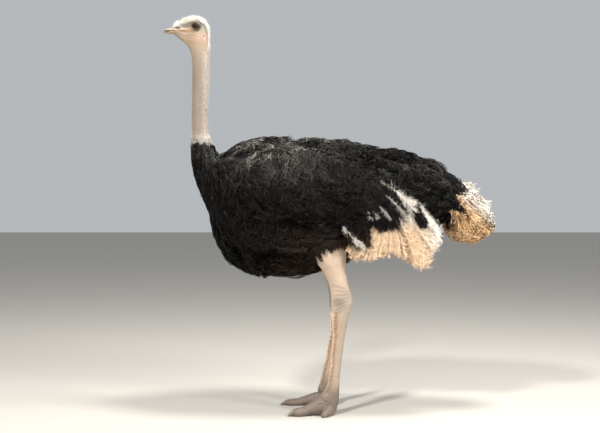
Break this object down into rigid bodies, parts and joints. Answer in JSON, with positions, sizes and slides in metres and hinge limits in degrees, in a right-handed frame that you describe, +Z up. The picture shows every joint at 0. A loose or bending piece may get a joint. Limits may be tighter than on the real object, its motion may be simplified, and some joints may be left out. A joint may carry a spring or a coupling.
{
  "type": "ostrich",
  "caption": "Life-size adult male ostrich standing at rest, neck up, black body plumes, white wing and tail plumes, bare neck and legs.",
  "frame": {"origin": "on the ground between the feet, on the bird's midline, midway between bill tip and tail tip", "axes": "+Z up, -X the way the bill points, -Y the bird's left side"},
  "size_m": [1.753, 0.576, 2.0948],
  "materials": {
    "black_plume": "matte, soft black feathers with grey-brown edges",
    "white_plume": "matte, soft white feathers, cream where the light passes through",
    "tail_plume": "matte, soft white feathers stained tan",
    "neck_skin": "satin, pale skin under short bristles",
    "leg_skin": "satin, pale wrinkled skin with horny scutes in front",
    "bill_horn": "satin horn",
    "claw_horn": "satin dark horn",
    "eye": "wet, glossy, dark brown"
  },
  "bodies": {
    "root": {"head": "neck_skin", "bill_upper": "bill_horn", "bill_lower": "bill_horn", "eye_left": "eye", "eye_right": "eye", "neck_upper": "neck_skin", "neck_middle": "neck_skin", "neck_lower": "neck_skin", "neck_base": "black_plume", "trunk": "black_plume", "rump": "black_plume", "tail_plumes": "tail_plume", "wing_left": "black_plume", "wing_plumes_left": "white_plume", "drumstick_left": "leg_skin", "hock_left": "leg_skin", "shank_left": "leg_skin", "foot_left": "leg_skin", "toe_main_left": "leg_skin", "toe_outer_left": "leg_skin", "claw_left": "claw_horn", "wing_right": "black_plume", "wing_plumes_right": "white_plume", "drumstick_right": "leg_skin", "hock_right": "leg_skin", "shank_right": "leg_skin", "foot_right": "leg_skin", "toe_main_right": "leg_skin", "toe_outer_right": "leg_skin", "claw_right": "claw_horn"}
  },
  "joints": []
}
